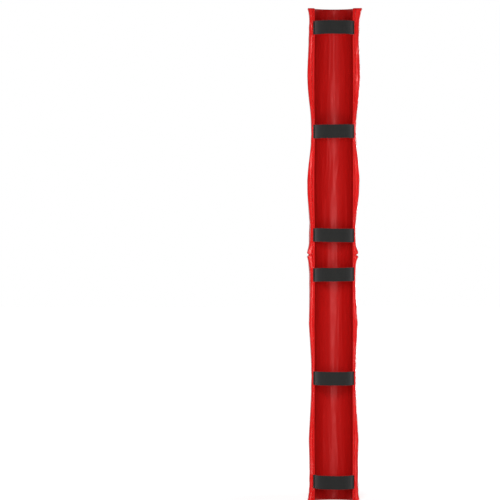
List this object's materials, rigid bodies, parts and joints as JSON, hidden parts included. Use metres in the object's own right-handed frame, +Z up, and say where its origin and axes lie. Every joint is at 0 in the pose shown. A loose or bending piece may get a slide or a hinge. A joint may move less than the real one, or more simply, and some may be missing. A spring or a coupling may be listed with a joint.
{
  "type": "basketball pole pad",
  "caption": "Long padded wrap for a round basketball post: foam in a sewn vinyl cover, folded across the middle, closed at the back with hook-and-loop straps.",
  "frame": {"origin": "on the axis of the post that the pad goes round, level with the pad's bottom end", "axes": "+Z runs up the post; the padded front faces -Y and the strapped opening faces +Y; +X is the side that the straps are sewn to"},
  "size_m": [0.2052, 0.1744, 1.8288],
  "materials": {
    "red_vinyl": "satin",
    "red_lining": "matte",
    "foam": "matte",
    "black_webbing": "matte",
    "black_hook_and_loop": "matte"
  },
  "bodies": {
    "right_half": {"foam_core_lower_right": "foam", "front_cover_lower_right": "red_vinyl", "end_panel_bottom_right": "red_vinyl", "foam_core_upper_right": "foam", "front_cover_upper_right": "red_vinyl", "end_panel_top_right": "red_vinyl", "back_lining_right": "red_lining", "fold_strip_right": "red_vinyl"},
    "left_half": {"foam_core_lower_left": "foam", "front_cover_lower_left": "red_vinyl", "end_panel_bottom_left": "red_vinyl", "foam_core_upper_left": "foam", "front_cover_upper_left": "red_vinyl", "end_panel_top_left": "red_vinyl", "back_lining_left": "red_lining", "fold_strip_left": "red_vinyl", "loop_patch_1": "black_hook_and_loop", "loop_patch_2": "black_hook_and_loop", "loop_patch_3": "black_hook_and_loop", "loop_patch_4": "black_hook_and_loop", "loop_patch_5": "black_hook_and_loop", "loop_patch_6": "black_hook_and_loop"},
    "strap_1_flap": {"strap_1": "black_webbing", "hook_patch_1": "black_hook_and_loop"},
    "strap_2_flap": {"strap_2": "black_webbing", "hook_patch_2": "black_hook_and_loop"},
    "strap_3_flap": {"strap_3": "black_webbing", "hook_patch_3": "black_hook_and_loop"},
    "strap_4_flap": {"strap_4": "black_webbing", "hook_patch_4": "black_hook_and_loop"},
    "strap_5_flap": {"strap_5": "black_webbing", "hook_patch_5": "black_hook_and_loop"},
    "strap_6_flap": {"strap_6": "black_webbing", "hook_patch_6": "black_hook_and_loop"}
  },
  "joints": [
    {"name": "wrap_open", "type": "hinge", "parent": "right_half", "child": "left_half", "pos_m": [0, -0.1, 0.9144], "axis": [0, 0, 1], "range_deg": [0, 60]},
    {"name": "strap_1_open", "type": "hinge", "parent": "right_half", "child": "strap_1_flap", "pos_m": [0.07577, 0.0202, 0.073], "axis": [0, 0, -1], "range_deg": [0, 100]},
    {"name": "strap_2_open", "type": "hinge", "parent": "right_half", "child": "strap_2_flap", "pos_m": [0.07577, 0.0202, 0.4572], "axis": [0, 0, -1], "range_deg": [0, 100]},
    {"name": "strap_3_open", "type": "hinge", "parent": "right_half", "child": "strap_3_flap", "pos_m": [0.07577, 0.0202, 0.8414], "axis": [0, 0, -1], "range_deg": [0, 100]},
    {"name": "strap_4_open", "type": "hinge", "parent": "right_half", "child": "strap_4_flap", "pos_m": [0.07577, 0.0202, 0.9874], "axis": [0, 0, -1], "range_deg": [0, 100]},
    {"name": "strap_5_open", "type": "hinge", "parent": "right_half", "child": "strap_5_flap", "pos_m": [0.07577, 0.0202, 1.3716], "axis": [0, 0, -1], "range_deg": [0, 100]},
    {"name": "strap_6_open", "type": "hinge", "parent": "right_half", "child": "strap_6_flap", "pos_m": [0.07577, 0.0202, 1.7558], "axis": [0, 0, -1], "range_deg": [0, 100]}
  ]
}
